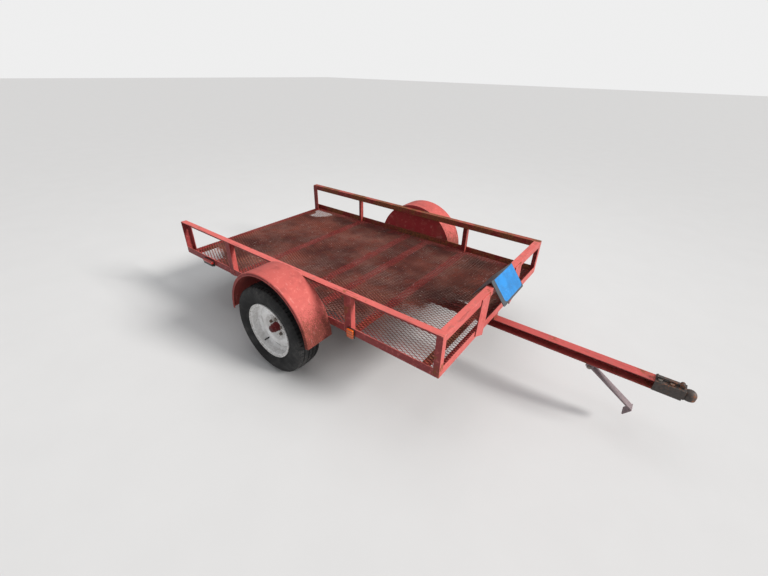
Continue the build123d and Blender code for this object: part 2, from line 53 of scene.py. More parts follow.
# ------------------------------------------------------------------- node kit
class Shade:
    """One procedural material, built from the object's own coordinates in metres."""

    def __init__(self, name, roughness=0.6, metallic=0.0, specular=0.5):
        self.material = bpy.data.materials.new(name)
        self.material.use_nodes = True
        self.tree = self.material.node_tree
        self.tree.nodes.clear()
        self.bsdf = self.add("ShaderNodeBsdfPrincipled")
        self.bsdf.inputs["Roughness"].default_value = roughness
        self.bsdf.inputs["Metallic"].default_value = metallic
        self.bsdf.inputs["Specular IOR Level"].default_value = specular
        out = self.add("ShaderNodeOutputMaterial")
        self.tree.links.new(self.bsdf.outputs[0], out.inputs[0])
        self.place = self.add("ShaderNodeTexCoord").outputs["Object"]
        self.heights = []

    def add(self, kind, **settings):
        node = self.tree.nodes.new(kind)
        for key, value in settings.items():
            setattr(node, key, value)
        return node

    def feed(self, socket, value):
        if isinstance(value, bpy.types.NodeSocket):
            self.tree.links.new(value, socket)
        elif value is not None:
            socket.default_value = value

    def noise(self, scale, detail=4.0, roughness=0.55, stretch=(1, 1, 1), shift=0.0):
        move = self.add("ShaderNodeMapping")
        self.feed(move.inputs["Vector"], self.place)
        move.inputs["Scale"].default_value = stretch
        move.inputs["Location"].default_value = (shift, shift * 0.7, -shift)
        node = self.add("ShaderNodeTexNoise")
        self.feed(node.inputs["Vector"], move.outputs[0])
        node.inputs["Scale"].default_value = scale
        node.inputs["Detail"].default_value = detail
        node.inputs["Roughness"].default_value = roughness
        return node.outputs[0]

    def cells(self, scale, feature="F1"):
        node = self.add("ShaderNodeTexVoronoi", feature=feature)
        self.feed(node.inputs["Vector"], self.place)
        node.inputs["Scale"].default_value = scale
        return node.outputs["Distance"]

    def step(self, value, low, high):
        """0 below low, 1 above high, smooth between; low may be the larger."""
        node = self.add("ShaderNodeMapRange", interpolation_type="SMOOTHSTEP")
        self.feed(node.inputs["Value"], value)
        flip = low > high
        node.inputs["From Min"].default_value = min(low, high)
        node.inputs["From Max"].default_value = max(low, high)
        node.inputs["To Min"].default_value = 1.0 if flip else 0.0
        node.inputs["To Max"].default_value = 0.0 if flip else 1.0
        return node.outputs[0]

    def calc(self, operation, a, b=None, clamp=False):
        node = self.add("ShaderNodeMath", operation=operation, use_clamp=clamp)
        self.feed(node.inputs[0], a)
        self.feed(node.inputs[1], b)
        return node.outputs[0]

    def blend(self, a, b, amount):
        node = self.add("ShaderNodeMix", data_type="RGBA")
        self.feed(node.inputs[0], amount)
        for socket, value in ((node.inputs[6], a), (node.inputs[7], b)):
            self.feed(socket, (*value, 1.0) if isinstance(value, tuple) else value)
        return node.outputs[2]

    def normal(self):
        node = self.add("ShaderNodeSeparateXYZ")
        self.feed(node.inputs[0], self.add("ShaderNodeNewGeometry").outputs["Normal"])
        return node.outputs

    def axes(self):
        node = self.add("ShaderNodeSeparateXYZ")
        self.feed(node.inputs[0], self.place)
        return node.outputs

    def edge(self, radius):
        """1 on convex and concave corners, 0 on flat stretches."""
        bevel = self.add("ShaderNodeBevel", samples=6)
        bevel.inputs["Radius"].default_value = radius
        true = self.add("ShaderNodeNewGeometry").outputs["True Normal"]
        dot = self.add("ShaderNodeVectorMath", operation="DOT_PRODUCT")
        self.feed(dot.inputs[0], bevel.outputs[0])
        self.feed(dot.inputs[1], true)
        self.rounded = bevel.outputs[0]
        return self.step(dot.outputs["Value"], 0.995, 0.86)

    def bump(self, height, strength, distance):
        self.heights.append((height, strength, distance))

    def finish(self, colour, roughness=None, metallic=None):
        self.feed(self.bsdf.inputs["Base Color"], colour)
        self.feed(self.bsdf.inputs["Roughness"], roughness)
        self.feed(self.bsdf.inputs["Metallic"], metallic)
        normal = getattr(self, "rounded", None)
        for height, strength, distance in self.heights:
            node = self.add("ShaderNodeBump")
            node.inputs["Strength"].default_value = strength
            node.inputs["Distance"].default_value = distance
            self.feed(node.inputs["Height"], height)
            self.feed(node.inputs["Normal"], normal)
            normal = node.outputs[0]
        self.feed(self.bsdf.inputs["Normal"], normal)
        return self.material


def painted_steel(name, lit, deep, rust, corner=0.0022, along=(0.12, 1, 1), shift=0.0,
                  ahead=0.64):
    """Old brushed paint with painted light: the lit tone on faces turned up or fore and aft,
    partly sun fading, and the shaded deep tone on sideways faces; chipped along edges, rusting
    through.
    """
    s = Shade(name, specular=0.24)
    n = s.normal()
    wide = s.noise(2.3, 5, shift=shift)
    fine = s.noise(38, 6, 0.65, shift=shift)
    brush = s.noise(55, 3, 0.5, stretch=along, shift=shift)
    # painted light: faces turned up, and fore and aft by the ahead weight, take the lit tone and
    # the rest the shaded deep tone, partly sun fading
    sky = s.step(n[2], 0.15, 0.8)
    ends = s.step(s.calc("ABSOLUTE", n[0]), 0.4, 0.9)
    painted_light_and_fade = s.calc("MAXIMUM", sky, s.calc("MULTIPLY", ends, ahead))
    painted_light_and_fade = s.calc("ADD", s.calc("MULTIPLY", painted_light_and_fade, 0.78),
                    s.calc("MULTIPLY", wide, 0.36), clamp=True)
    paint = s.blend(deep, lit, painted_light_and_fade)
    chalk = tuple(min(1.0, c * 1.18 + 0.05) for c in lit)
    paint = s.blend(paint, chalk, s.calc("MULTIPLY", s.step(fine, 0.50, 0.72), 0.42))
    dull = tuple(c * 0.52 for c in deep)
    paint = s.blend(paint, dull, s.calc("MULTIPLY", s.step(brush, 0.55, 0.78), 0.5))
    # pale edges: chipped primer, and partly a painted highlight along the corners; then bare brown
    # metal in the worst spots
    edge = s.edge(corner)
    chips = s.calc("MULTIPLY", edge, s.step(s.noise(70, 5, 0.6, shift=shift), 0.40, 0.56))
    paint = s.blend(paint, (0.74, 0.33, 0.27), s.calc("MULTIPLY", chips, 0.62))
    patches = s.noise(6.5, 7, 0.62, shift=shift + 3)
    spots = s.noise(85, 5, 0.7, shift=shift)
    level = 0.72 - 0.26 * rust
    through = s.step(s.calc("ADD", s.calc("MULTIPLY", patches, 0.72),
                            s.calc("MULTIPLY", spots, 0.34)), level - 0.045, level + 0.04)
    brown = s.blend((0.085, 0.034, 0.020), (0.26, 0.088, 0.034), s.step(spots, 0.35, 0.65))
    colour = s.blend(paint, brown, through)
    # grey-brown dirt lies on what faces up
    dirt = s.calc("MULTIPLY", sky, s.step(s.noise(21, 6, 0.7, shift=shift + 9), 0.52, 0.72))
    colour = s.blend(colour, (0.20, 0.13, 0.105), s.calc("MULTIPLY", dirt, 0.42))
    rough = s.calc("ADD", s.calc("MULTIPLY", through, 0.34),
                   s.calc("ADD", s.calc("MULTIPLY", fine, 0.25), 0.36), clamp=True)
    s.bump(through, 0.35, 0.0006)
    s.bump(fine, 0.18, 0.0004)
    s.bump(brush, 0.10, 0.0003)
    return s.finish(colour, rough)


# lit and shaded tones of the red paint: painted light and painted shade, the lit one partly sun
# fading
LIT_FADED_RED, DEEP_RED = (0.64, 0.130, 0.112), (0.135, 0.0100, 0.0150)
RUSTY_RED = (0.36, 0.062, 0.046)

ALONG_Y, ALONG_Z = (1, 0.12, 1), (1, 1, 0.12)
red = painted_steel("frame_red", LIT_FADED_RED, DEEP_RED, 0.30)
red_across = painted_steel("frame_red_across", LIT_FADED_RED, DEEP_RED, 0.26, along=ALONG_Y, shift=2)
red_upright = painted_steel("frame_red_upright", LIT_FADED_RED, DEEP_RED, 0.30, along=ALONG_Z)
# a shaded copy: the rear posts get little painted light on their fore and aft faces
red_rear_post = painted_steel("frame_red_rear_post", LIT_FADED_RED, DEEP_RED, 0.26, along=ALONG_Z,
                              ahead=0.12)
red_far_upright = painted_steel("frame_red_far_upright", RUSTY_RED, DEEP_RED, 0.42,
                                along=ALONG_Z, shift=6)
red_far = painted_steel("frame_red_weathered", RUSTY_RED, DEEP_RED, 0.78, shift=4)
red_cross = painted_steel("cross_member_red", (0.36, 0.060, 0.052), DEEP_RED, 0.70,
                          along=ALONG_Y, shift=8)
red_tongue = painted_steel("tongue_red", (0.50, 0.088, 0.080), DEEP_RED, 0.36, shift=11)


def fender_paint(name, side, deep):
    """Salmon skin, with rust eating through towards the front end of the arch."""
    s = Shade(name, specular=0.24)
    n = s.normal()
    p = s.axes()
    low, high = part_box("fender_" + side)
    fine = s.noise(40, 6, 0.65)
    spots = s.noise(120, 5, 0.68)
    wide = s.noise(4.0, 5)
    # painted light: faces turned up and forward take the lit salmon tone and the others the shaded
    # deep tone, partly sun fading
    sky = s.step(n[2], -0.1, 0.7)
    front = s.step(n[0], 0.1, 0.8)
    painted_light_and_fade = s.calc("MAXIMUM", sky, s.calc("MULTIPLY", front, 0.72))
    painted_light_and_fade = s.calc("ADD", s.calc("MULTIPLY", painted_light_and_fade, 0.8), s.calc("MULTIPLY", wide, 0.3),
                    clamp=True)
    paint = s.blend(deep, (0.50, 0.100, 0.085), painted_light_and_fade)
    paint = s.blend(paint, (0.70, 0.220, 0.180), s.calc("MULTIPLY", s.step(fine, 0.52, 0.74), 0.5))
    cloud = s.step(s.noise(11, 5, 0.6, shift=2), 0.46, 0.66)
    paint = s.blend(paint, (0.30, 0.060, 0.052), s.calc("MULTIPLY", cloud, 0.55))
    # painted highlight: a pale line along every edge of the fender and its rolled lip
    edge = s.edge(0.003)
    paint = s.blend(paint, (0.82, 0.40, 0.36), s.calc("MULTIPLY", edge, 0.55))
    # rust grows with distance down the front quarter
    down = s.calc("MULTIPLY", s.step(p[0], high.x - 0.26, high.x - 0.03),
                  s.step(p[2], high.z - 0.02, low.z + 0.03))
    load = s.calc("ADD", s.calc("MULTIPLY", down, 0.20), s.calc("MULTIPLY", wide, 0.10))
    rust = s.step(s.calc("ADD", s.calc("MULTIPLY", spots, 0.62),
                         s.calc("ADD", s.calc("MULTIPLY", s.noise(26, 6, 0.7), 0.30), load)),
                  0.615, 0.665)
    brown = s.blend((0.085, 0.024, 0.018), (0.25, 0.068, 0.045), s.step(spots, 0.40, 0.66))
    colour = s.blend(paint, brown, s.calc("MULTIPLY", rust, 0.88))
    scratch = s.step(s.noise(60, 2, 0.4, stretch=(0.25, 1, 0.25), shift=5), 0.66, 0.72)
    colour = s.blend(colour, (0.80, 0.45, 0.40), s.calc("MULTIPLY", scratch, 0.14))
    rough = s.calc("ADD", s.calc("MULTIPLY", rust, 0.30), s.calc("ADD", s.calc(
        "MULTIPLY", fine, 0.26), 0.48), clamp=True)
    s.bump(rust, 0.4, 0.0007)
    s.bump(fine, 0.15, 0.0004)
    s.bump(s.noise(7, 3, 0.5), 0.5, 0.004)
    return s.finish(colour, rough)


def deck_metal():
    """Expanded metal: mostly brown rust, darker where wet, red where paint is left."""
    s = Shade("deck_rust", specular=0.12)
    patches = s.noise(2.6, 6, 0.6, shift=2)
    mid = s.noise(9, 6, 0.65)
    fine = s.noise(120, 5, 0.7)
    rust = s.blend((0.100, 0.033, 0.027), (0.310, 0.102, 0.072), s.step(patches, 0.38, 0.64))
    rust = s.blend(rust, (0.27, 0.095, 0.045), s.calc("MULTIPLY", s.step(mid, 0.56, 0.74), 0.5))
    p = s.axes()
    near_member = None
    for name in ("deck_cross_member_1", "deck_cross_member_2", "deck_cross_member_3",
                 "deck_cross_member_4", "rear_cross_member", "front_cross_member"):
        low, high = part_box(name)
        centre, reach = (low.x + high.x) / 2, (high.x - low.x) / 2
        off = s.calc("ABSOLUTE", s.calc("SUBTRACT", p[0], centre))
        band = s.step(off, reach + 0.030, reach - 0.004)
        near_member = band if near_member is None else s.calc("MAXIMUM", near_member, band)
    side = s.step(s.calc("ABSOLUTE", p[1]), 0.55, 0.74)
    kept = s.calc("MAXIMUM", near_member, s.calc("MULTIPLY", side, 0.7))
    kept = s.calc("ADD", s.calc("MULTIPLY", kept, 0.40), s.calc("MULTIPLY", mid, 0.55))
    paint = s.blend((0.19, 0.018, 0.022), (0.47, 0.080, 0.068), s.step(fine, 0.35, 0.65))
    colour = s.blend(rust, paint, s.step(kept, 0.40, 0.62))
    colour = s.blend(colour, (0.30, 0.23, 0.19), s.calc("MULTIPLY", s.step(
        s.noise(34, 5, 0.7, shift=7), 0.60, 0.74), 0.5))
    s.bump(fine, 0.5, 0.0005)
    return s.finish(colour, s.calc("ADD", s.calc("MULTIPLY", fine, 0.3), 0.6, clamp=True))


def shade_fill_shader():
    """Painted shade: a grey-brown fill coloured like dried earth with rust scale in it, standing
    in for the shaded ground seen through the deck.
    """
    s = Shade("shade_fill_shader", 0.95, specular=0.08)
    patches = s.noise(2.4, 6, 0.62, shift=5)
    mid = s.noise(12, 6, 0.65, shift=1)
    fine = s.noise(150, 5, 0.7)
    colour = s.blend((0.100, 0.040, 0.035), (0.235, 0.140, 0.118), s.step(patches, 0.40, 0.62))
    colour = s.blend(colour, (0.215, 0.048, 0.036), s.calc("MULTIPLY", s.step(
        mid, 0.48, 0.66), 0.80))
    colour = s.blend(colour, (0.060, 0.026, 0.022), s.calc("MULTIPLY", s.step(
        fine, 0.46, 0.62), 0.75))
    litter = s.step(s.noise(48, 2, 0.4, shift=3), 0.690, 0.735)
    colour = s.blend(colour, (0.50, 0.36, 0.31), s.calc("MULTIPLY", litter, 0.8))
    s.bump(fine, 0.8, 0.0012)
    return s.finish(colour, s.calc("ADD", s.calc("MULTIPLY", fine, 0.1), 0.86, clamp=True))


def bare_steel(name, colour, rust, roughness=0.5, metallic=0.75, corner=0.0012):
    """Plain or plated steel gone dull, with rust in patches and darker grease in random patches.
    """
    s = Shade(name)
    fine = s.noise(90, 5, 0.65)
    wide = s.noise(11, 6, 0.6, shift=3)
    tone = s.blend(tuple(c * 0.62 for c in colour), colour, s.step(fine, 0.3, 0.7))
    edge = s.edge(corner)
    bright = tuple(min(1.0, c * 1.35 + 0.05) for c in colour)
    tone = s.blend(tone, bright, s.calc("MULTIPLY", edge, 0.45))
    level = 0.72 - 0.30 * rust
    rusty = s.step(s.calc("ADD", s.calc("MULTIPLY", wide, 0.65), s.calc("MULTIPLY", fine, 0.38)),
                   level - 0.05, level + 0.05)
    brown = s.blend((0.06, 0.027, 0.017), (0.23, 0.085, 0.037), s.step(fine, 0.35, 0.68))
    s.bump(rusty, 0.3, 0.0004)
    s.bump(fine, 0.25, 0.0003)
    return s.finish(s.blend(tone, brown, rusty),
                    s.calc("ADD", s.calc("MULTIPLY", rusty, 0.3),
                           s.calc("ADD", s.calc("MULTIPLY", fine, 0.2), roughness - 0.1),
                           clamp=True),
                    s.calc("MULTIPLY", s.calc("SUBTRACT", 1.0, rusty), metallic))


def wheel_paint():
    """White wheel paint under road film: brown by the bolts, dark at the bead, rust chips."""
    s = Shade("wheel_white")
    low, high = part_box("tyre_right")
    p = s.axes()
    dx = s.calc("SUBTRACT", p[0], (low.x + high.x) / 2)
    dz = s.calc("SUBTRACT", p[2], (low.z + high.z) / 2)
    radius = s.calc("SQRT", s.calc("ADD", s.calc("MULTIPLY", dx, dx), s.calc("MULTIPLY", dz, dz)))
    fine = s.noise(75, 6, 0.68)
    wide = s.noise(14, 5, 0.6)
    white = s.blend((0.70, 0.69, 0.68), (0.90, 0.90, 0.90), s.step(wide, 0.34, 0.62))
    film = s.calc("ADD", s.step(radius, 0.105, 0.055), s.calc("MULTIPLY", s.step(
        radius, 0.160, 0.184), 0.5), clamp=True)
    film = s.calc("MULTIPLY", film, s.step(s.calc("ADD", fine, s.calc("MULTIPLY", wide, 0.5)),
                                           0.60, 0.92))
    colour = s.blend(white, (0.235, 0.205, 0.175), film)
    edge = s.edge(0.002)
    colour = s.blend(colour, (0.16, 0.085, 0.055), s.calc("MULTIPLY", edge, s.step(
        fine, 0.50, 0.62)))
    chips = s.step(s.calc("ADD", s.calc("MULTIPLY", fine, 0.7), s.calc("MULTIPLY", wide, 0.3)),
                   0.615, 0.655)
    colour = s.blend(colour, (0.145, 0.060, 0.033), s.calc("MULTIPLY", chips, 0.85))
    s.bump(chips, 0.3, 0.0004)
    s.bump(fine, 0.12, 0.0003)
    return s.finish(colour, s.calc("ADD", s.calc("MULTIPLY", film, 0.3), 0.38, clamp=True))


def rubber(name, tone, dust):
    s = Shade(name, 0.78, specular=0.32)
    fine = s.noise(140, 5, 0.65)
    wide = s.noise(9, 6, 0.62)
    worn = tuple(c * 1.9 + 0.008 for c in tone)
    colour = s.blend(tone, worn, s.step(wide, 0.40, 0.68))
    colour = s.blend(colour, (0.19, 0.175, 0.155), s.calc("MULTIPLY", s.step(s.calc(
        "ADD", s.calc("MULTIPLY", wide, 0.5), s.calc("MULTIPLY", fine, 0.5)), 0.52, 0.70), dust))
    s.bump(fine, 0.25, 0.0004)
    return s.finish(colour, s.calc("ADD", s.calc("MULTIPLY", fine, 0.2), 0.68))


def lens(name, colour, pitch):
    """Ribbed moulded lens with faint crazing and road dust."""
    s = Shade(name, 0.22)
    wave = s.add("ShaderNodeTexWave", wave_type="BANDS", bands_direction="Z")
    s.feed(wave.inputs["Vector"], s.place)
    wave.inputs["Scale"].default_value = 1 / (pitch * math.pi * 2) * 0.5
    fine = s.noise(160, 4, 0.6)
    deep = tuple(c * 0.45 for c in colour)
    tone = s.blend(deep, colour, s.step(wave.outputs[0], 0.1, 0.7))
    tone = s.blend(tone, (0.45, 0.33, 0.26), s.calc("MULTIPLY", s.step(fine, 0.56, 0.72), 0.2))
    s.bump(wave.outputs[0], 0.5, 0.0008)
    s.bsdf.inputs["Coat Weight"].default_value = 0.2
    return s.finish(tone, s.calc("ADD", s.calc("MULTIPLY", fine, 0.25), 0.12))


def sheet_plastic(name, colour, ribs=0.0):
    """Fluted sign board: faint channels under the print, scuffs, dust."""
    s = Shade(name, 0.45)
    fine = s.noise(110, 5, 0.65)
    wide = s.noise(13, 5, 0.6)
    tone = s.blend(tuple(c * 0.72 for c in colour), colour, s.step(wide, 0.34, 0.62))
    tone = s.blend(tone, tuple(min(1.0, c * 1.3 + 0.10) for c in colour),
                   s.calc("MULTIPLY", s.step(fine, 0.58, 0.70), 0.5))
    if ribs:
        wave = s.add("ShaderNodeTexWave", wave_type="BANDS", bands_direction="Y")
        s.feed(wave.inputs["Vector"], s.place)
        wave.inputs["Scale"].default_value = 1 / (ribs * math.pi * 2)
        s.bump(wave.outputs[0], 0.25, 0.0003)
    s.bump(fine, 0.1, 0.0002)
    return s.finish(tone, s.calc("ADD", s.calc("MULTIPLY", fine, 0.3), 0.30))


# painted light: the far fender's shaded inner face gets a lighter deep tone than the near fender
FENDER_DEEP = {"right": (0.12, 0.008, 0.012), "left": (0.27, 0.016, 0.026)}
fender_red = {side: fender_paint("fender_red_" + side, side, FENDER_DEEP[side])
              for side, _ in SIDES}
deck_rust = deck_metal()
# painted shade fill for the deck's diamonds
shade_fill_mat = shade_fill_shader()
dark_steel = bare_steel("dark_steel", (0.10, 0.085, 0.078), 0.55, 0.62, 0.5)
bolt_steel = bare_steel("bolt_steel", (0.30, 0.27, 0.24), 0.45, 0.48, 0.8, 0.0008)
leg_steel = bare_steel("leg_steel", (0.255, 0.195, 0.205), 0.25, 0.55, 0.35)
wheel_white = wheel_paint()
hub_red = painted_steel("hub_red", (0.16, 0.016, 0.018), (0.060, 0.006, 0.009), 0.35, 0.0015)
tyre_black = rubber("tyre_black", (0.010, 0.010, 0.0105), 0.26)
valve_rubber = rubber("valve_rubber", (0.014, 0.014, 0.014), 0.3)
amber = lens("amber_lens", (0.72, 0.115, 0.004), 0.0045)
lamp_red = lens("red_lens", (0.50, 0.030, 0.022), 0.0045)
lamp_base = sheet_plastic("lamp_base_black", (0.022, 0.021, 0.021))
board_blue = sheet_plastic("board_blue", (0.004, 0.205, 0.55), 0.0045)
board_dark = sheet_plastic("board_dark", (0.045, 0.052, 0.060), 0.0045)

FINISHES = (
    (("coupler_lever", "coupler_body", "leaf_spring", "spring_", "axle_tube", "u_bolts"),
     dark_steel),
    (("coupler_bolts", "lug_bolts", "leg_pivot", "spindle", "wheel_bearings", "coupler_jaw",
      "spring_bolts"), bolt_steel),
    (("prop_leg", "leg_bracket"), leg_steel),
    (("wheel_left", "wheel_right"), wheel_white),
    (("hub_", "dust_cap"), hub_red),
    (("tyre_",), tyre_black),
    (("valve_stem",), valve_rubber),
    (("marker_lamps",), amber),
    (("tail_lamps",), lamp_red),
    (("number_board",), board_dark),
    (("deck_mesh",), deck_rust),
    (("deck_cross", "rear_cross", "tongue_cross", "tongue_packer"), red_cross),
    (("tongue_channel",), red_tongue),
    (("top_rail_left", "side_rail_left"), red_far),
    (("rear_post_right",), red_rear_post),
    (("rear_post_left", "mid_post_rear_left", "mid_post_front_left"), red_far_upright),
    (("rear_post", "mid_post", "corner_post", "front_stay"), red_upright),
    (("top_rail_front", "front_cross"), red_across),
    (("fender_left",), fender_red["left"]),
    (("fender_right",), fender_red["right"]),
    (("",), red),
)


def dress(obj, *materials):
    obj.data.materials.clear()
    for material in materials:
        obj.data.materials.append(material)


for name, obj in nodes.items():
    first = next(m for starts, m in FINISHES if name.startswith(starts))
    exact = [m for starts, m in FINISHES if name in starts]
    dress(obj, exact[0] if exact else first)


# ------------------------------------------------------------------ mesh tools
def piece(name, vertices, faces, body, slot, *materials, smooth=None):
    mesh = bpy.data.meshes.new(name)
    mesh.from_pydata([tuple(v) for v in vertices], [], faces)
    mesh.validate()
    obj = bpy.data.objects.new(name, mesh)
    bpy.context.scene.collection.objects.link(obj)
    dress(obj, *materials)
    if smooth is not None:
        mesh.shade_smooth()
        mesh.set_sharp_from_angle(angle=math.radians(smooth))
    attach(obj, body)
    return obj


def swept(section, path_frames, closed_section=True, closed_path=False):
    """Vertices and faces of a section carried along frames (origin, u, v)."""
    vertices, faces = [], []
    n = len(section)
    for origin, u, v in path_frames:
        vertices += [origin + u * a + v * b for a, b in section]
    spans = len(path_frames) if closed_path else len(path_frames) - 1
    for i in range(spans):
        j = (i + 1) % len(path_frames)
        for k in range(n if closed_section else n - 1):
            m = (k + 1) % n
            faces.append((i * n + k, i * n + m, j * n + m, j * n + k))
    if closed_section and not closed_path:
        faces.append(tuple(range(n))[::-1])
        faces.append(tuple(len(vertices) - n + k for k in range(n)))
    return vertices, faces


def ring(radius, steps):
    return [(radius * math.cos(2 * math.pi * i / steps), radius * math.sin(
        2 * math.pi * i / steps)) for i in range(steps)]


# ---------------------------------------------------------------- diamond deck
LONG, SHORT = 0.0508, 0.0226          # diamond length along the cart, and width
STRAND_W, STRAND_T, LEAN = 0.0076, 0.0022, math.radians(-36)


def diamond_deck():
    low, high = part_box("deck_mesh")
    rows = round((high.y - low.y) / (SHORT / 2)) - 1
    steps = round((high.x - low.x) / (LONG / 2))
    pitch_x, pitch_y = (high.x - low.x) / steps, (high.y - low.y) / (rows + 1)
    across = Vector((0, math.cos(LEAN), math.sin(LEAN)))
    through = Vector((0, -math.sin(LEAN), math.cos(LEAN)))
    lift = STRAND_W / 2 * abs(math.sin(LEAN)) + STRAND_T / 2 * math.cos(LEAN)
    corners = ((-1, -1), (1, -1), (1, 1), (-1, 1))
    section = [(a * STRAND_W / 2, b * STRAND_T / 2) for a, b in corners]
    vertices, faces = [], []
    for r in range(rows):
        frames = []
        for i in range(steps + 1):
            swing = (1 if (i + r) % 2 else -1) * pitch_y * 0.5
            y = low.y + (r + 1) * pitch_y + swing
            wobble = random.uniform(-0.0003, 0.0003)
            at = Vector((low.x + i * pitch_x, y + wobble, low.z + lift))
            frames.append((at, across, through))
        v, f = swept(section, frames)
        faces += [tuple(k + len(vertices) for k in face) for face in f]
        vertices += v
    obj = piece("deck_diamond_mesh", vertices, faces, "chassis", "deck_rust", deck_rust)
    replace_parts(obj, "deck_mesh")
    # painted shade: dark fill in the diamonds, standing in for shaded ground
    shade_fill_lenses(low, rows, steps, pitch_x, pitch_y, lift)


LENS_SPREAD = 1.08                    # a full lens of fill against half a diamond
LENS_LEAST = 0.22                     # smaller ones are left out
RIM = [(1, 0), (0.45, 0.52), (0, 1), (-0.45, 0.52), (-1, 0), (-0.45, -0.52), (0, -1),
       (0.45, -0.52)]                 # outline of a lens, in half diamonds
# where the painted shade fill is left out and the floor shows through: centre and reach along x
# and y, as shares of the half deck
UNFILLED_BAYS = ((0.78, -0.80, 0.30, 0.48), (0.86, -0.42, 0.20, 0.34), (0.66, -0.86, 0.20, 0.34),
         (-0.93, -0.92, 0.20, 0.16), (-0.90, 0.86, 0.12, 0.16), (0.33, -0.97, 0.12, 0.10))


def shade_fill_lenses(low, rows, steps, pitch_x, pitch_y, lift):
    """Painted shade: dark lenses in the diamonds, coloured like dried earth and rust scale,
    standing in for the shaded ground seen through the mesh; left out in the open bays.
    """
    half_x, half_y = steps * pitch_x / 2, (rows + 1) * pitch_y / 2
    vertices, faces = [], []
    for r in range(rows - 1):
        for i in range(1, steps):
            if (i + r) % 2:
                continue
            x, y = low.x + i * pitch_x, low.y + (r + 1.5) * pitch_y
            u, v = x - low.x - half_x, y - low.y - half_y
            open_here = max(1.25 - math.hypot((u / half_x - a) / c, (v / half_y - b) / d)
                            for a, b, c, d in UNFILLED_BAYS)
            wave = noise.noise(Vector((x * 3.1, y * 3.1, 4.0))) + 0.5 * noise.noise(
                Vector((x * 11, y * 11, 9.0)))
            fill = 1.0 - 2.4 * max(0.0, open_here + 0.22 * wave) + 0.10 * wave
            fill = min(1.0, fill + random.uniform(-0.10, 0.10))
            if fill < LENS_LEAST:
                continue
            # a lens of painted shade fill, lodged against the lower strand when it doesn't fill
            # the diamond
            reach_x = pitch_x * LENS_SPREAD * fill
            reach_y = pitch_y * LENS_SPREAD * fill
            y -= pitch_y * (1 - fill) * 0.55
            z = low.z + lift * random.uniform(0.35, 0.62)
            start = len(vertices)
            for top, drop in ((1, 0.0), (0, 0.0012)):
                for a, b in RIM:
                    j = random.uniform(0.90, 1.08)
                    vertices.append((x + a * reach_x * j, y + b * reach_y * j,
                                     z - drop + random.uniform(-0.0004, 0.0004)))
                vertices.append((x, y, z - drop + (0.0009 if top else -0.0003)))
            n = len(RIM)
            for k in range(n):
                m = (k + 1) % n
                faces.append((start + k, start + m, start + n))
                faces.append((start + n + 1 + m, start + n + 1 + k, start + 2 * n + 1))
                faces.append((start + k, start + n + 1 + k, start + n + 1 + m, start + m))
    piece("deck_shade_fill_lenses", vertices, faces, "chassis", "deck_rust", shade_fill_mat)


diamond_deck()


# ----------------------------------------------------------------------- tyres
TREAD_HALF, GROOVE, BLOCKS = 0.068, 0.0065, 66


def tyre_profile(radius, width):
    """(across, radius, kind) from bead to bead; kind marks the tread and shoulder rows."""
    half = width / 2
    wall = [(0.62, 0.567), (0.70, 0.583), (0.76, 0.612), (0.80, 0.628), (0.87, 0.675),
            (0.955, 0.74), (1.0, 0.80), (0.995, 0.845), (0.965, 0.885), (0.93, 0.912),
            (0.905, 0.930)]
    out = [(-half * a, radius * b, "wall") for a, b in wall]
    crown = 0.0075
    rows = [(-1.0, "s"), (-0.86, "s"), (-0.72, "s"), (-0.70, "g"), (-0.62, "g"), (-0.60, "r"),
            (-0.27, "r"), (-0.25, "g"), (-0.17, "g"), (-0.15, "r"), (0.15, "r"), (0.17, "g"),
            (0.25, "g"), (0.27, "r"), (0.60, "r"), (0.62, "g"), (0.70, "g"), (0.72, "s"),
            (0.86, "s"), (1.0, "s")]
    for a, kind in rows:
        drop = GROOVE if kind == "g" else 0.0
        out.append((TREAD_HALF * 1.12 * a, radius - crown * a * a - drop, kind))
    return out + [(half * a, radius * b, "wall") for a, b in reversed(wall)]


def tyre(side):
    low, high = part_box("tyre_" + side)
    centre = (low + high) / 2
    radius, width = (high.z - low.z) / 2, high.y - low.y
    profile = tyre_profile(radius - 0.0005, width)
    slots = []                          # angle and whether the shoulder is cut there
    for b in range(BLOCKS):
        base = 2 * math.pi * b / BLOCKS
        for part, cut in ((0.0, 0), (0.36, 0), (0.70, 0), (0.73, 1), (0.97, 1)):
            slots.append((base + part * 2 * math.pi / BLOCKS, cut))
    vertices, faces, n = [], [], len(profile)
    for angle, cut in slots:
        for a, r, kind in profile:
            turn = angle + (0.030 * (a / TREAD_HALF) if kind == "r" else 0.0)
            if cut and kind == "s":
                r -= GROOVE * (0.9 if abs(a) < TREAD_HALF * 1.05 else 0.45)
            if cut and kind == "r":
                r -= GROOVE * 0.35
            vertices.append(centre + Vector((r * math.cos(turn), a, r * math.sin(turn))))
    count = len(slots)
    for i in range(count):
        j = (i + 1) % count
        for k in range(n):
            m = (k + 1) % n
            faces.append((i * n + k, i * n + m, j * n + m, j * n + k))
    obj = piece("tyre_tread_" + side, vertices, faces, "wheel_assembly_" + side, "tyre",
                tyre_black, smooth=32)
    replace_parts(obj, "tyre_" + side)
    # raised rings moulded on both walls
    for share, wide in ((0.690, 0.0012), (0.790, 0.0016), (0.862, 0.0012)):
        for way in (-1, 1):
            reach = {0.690: 0.885, 0.790: 0.976, 0.862: 0.973}[share] * width / 2
            frames = []
            for i in range(120):
                t = 2 * math.pi * i / 120
                out = Vector((math.cos(t), 0, math.sin(t)))
                frames.append((centre + out * radius * share + Vector((0, way * reach, 0)),
                               out, Vector((0, way, 0))))
            v, f = swept(ring(wide, 8), frames, closed_path=True)
            piece("tyre_ring_%s_%d_%s" % (side, round(share * 1000), "in" if way * (
                1 if side == "left" else -1) < 0 else "out"), v, f, "wheel_assembly_" + side,
                "tyre", tyre_black, smooth=60)


